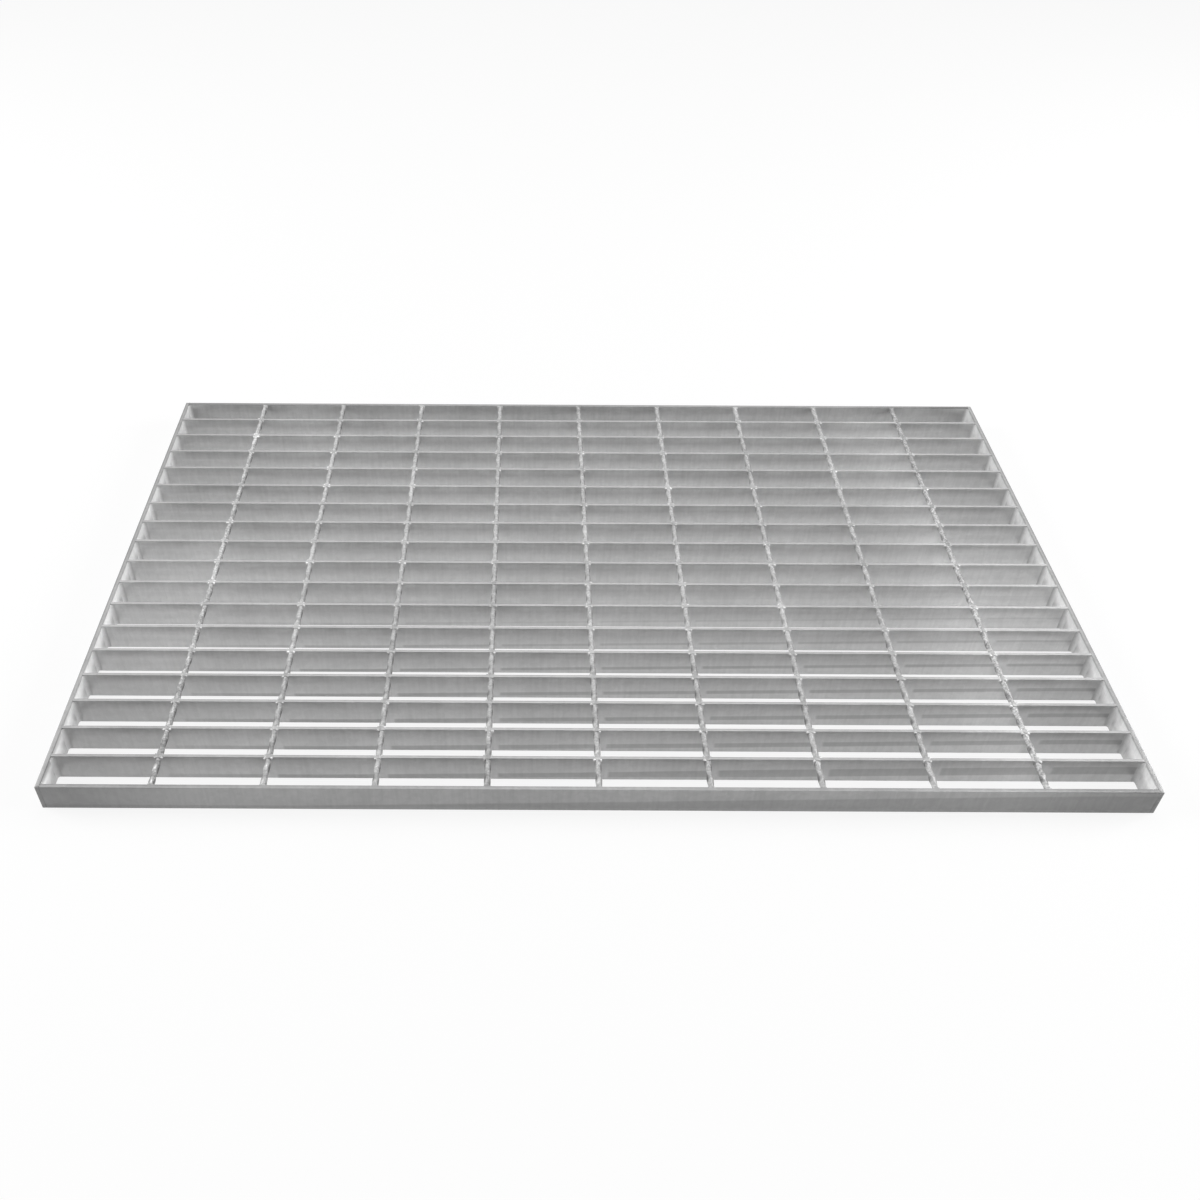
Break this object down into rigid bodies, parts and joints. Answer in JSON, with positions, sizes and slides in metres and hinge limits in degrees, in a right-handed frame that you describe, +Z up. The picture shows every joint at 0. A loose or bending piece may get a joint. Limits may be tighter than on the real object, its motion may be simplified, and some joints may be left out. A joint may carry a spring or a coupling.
{
  "type": "steel grating panel",
  "caption": "Flat rectangular steel grating: upright flat bars side by side, crossed by twisted square rods and closed by flat edge bands.",
  "frame": {"origin": "centre of the underside", "axes": "+X along the bearing bars, +Y from the front edge to the back edge, +Z up through the walking surface"},
  "size_m": [1.004, 0.6, 0.0304],
  "materials": {
    "bar_zinc": "hot-dip galvanised, dull",
    "band_zinc": "hot-dip galvanised, dull, darker"
  },
  "bodies": {
    "root": {"grating": "bar_zinc", "left_band": "band_zinc", "right_band": "band_zinc", "front_band": "band_zinc", "back_band": "band_zinc"}
  },
  "joints": []
}
